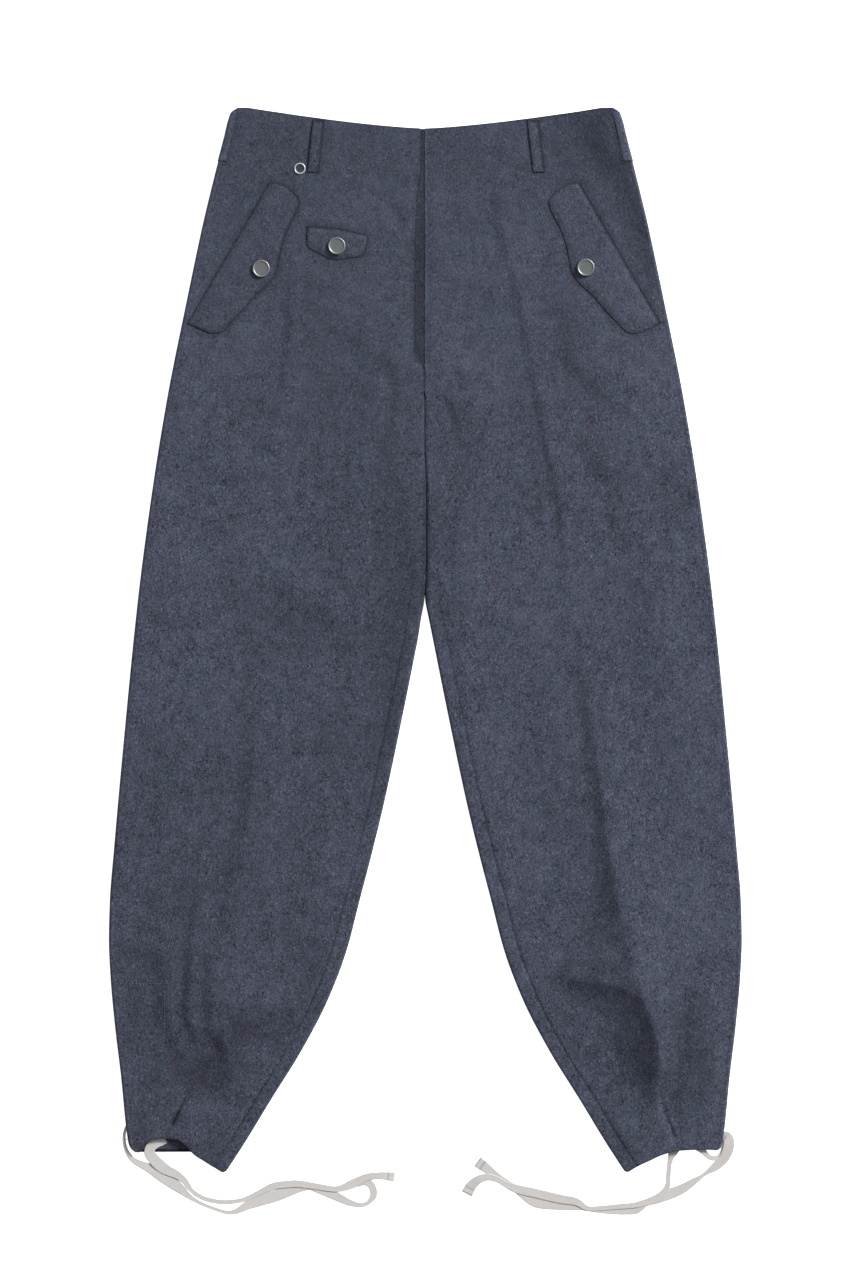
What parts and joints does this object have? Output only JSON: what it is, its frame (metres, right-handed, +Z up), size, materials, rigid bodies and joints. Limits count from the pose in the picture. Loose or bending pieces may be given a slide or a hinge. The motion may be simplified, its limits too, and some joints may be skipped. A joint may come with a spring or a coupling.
{
  "type": "paratrooper trousers",
  "caption": "Full-cut wool trousers laid flat, with slanted button-down pocket flaps, a watch pocket flap, belt loops and tie tapes at the ankles.",
  "frame": {"origin": "centre of the garment's outline, on the surface it lies on, measured without the tapes", "axes": "+X to the wearer's left, +Y from the hems to the waist, +Z up out of the front"},
  "size_m": [0.6304, 1.1084, 0.013],
  "materials": {
    "wool": "blue-grey melange wool melton, brushed nap",
    "button_metal": "grey dished metal, worn brighter at the rim",
    "eyelet_metal": "plain bright ring",
    "tape": "off-white woven cotton tape"
  },
  "bodies": {
    "root": {"front_left": "wool", "front_right": "wool", "back_left": "wool", "back_right": "wool", "fly_underlap": "wool", "pocket_flap_left": "wool", "pocket_flap_right": "wool", "watch_pocket_flap": "wool", "loop_front_left": "wool", "loop_front_right": "wool", "loop_side_left": "wool", "loop_side_right": "wool", "button_left_flap": "button_metal", "button_right_flap": "button_metal", "button_watch_flap": "button_metal", "eyelet": "eyelet_metal", "tape_left_inner": "tape", "tape_left_outer": "tape", "tape_right_inner": "tape", "tape_right_outer": "tape"}
  },
  "joints": []
}
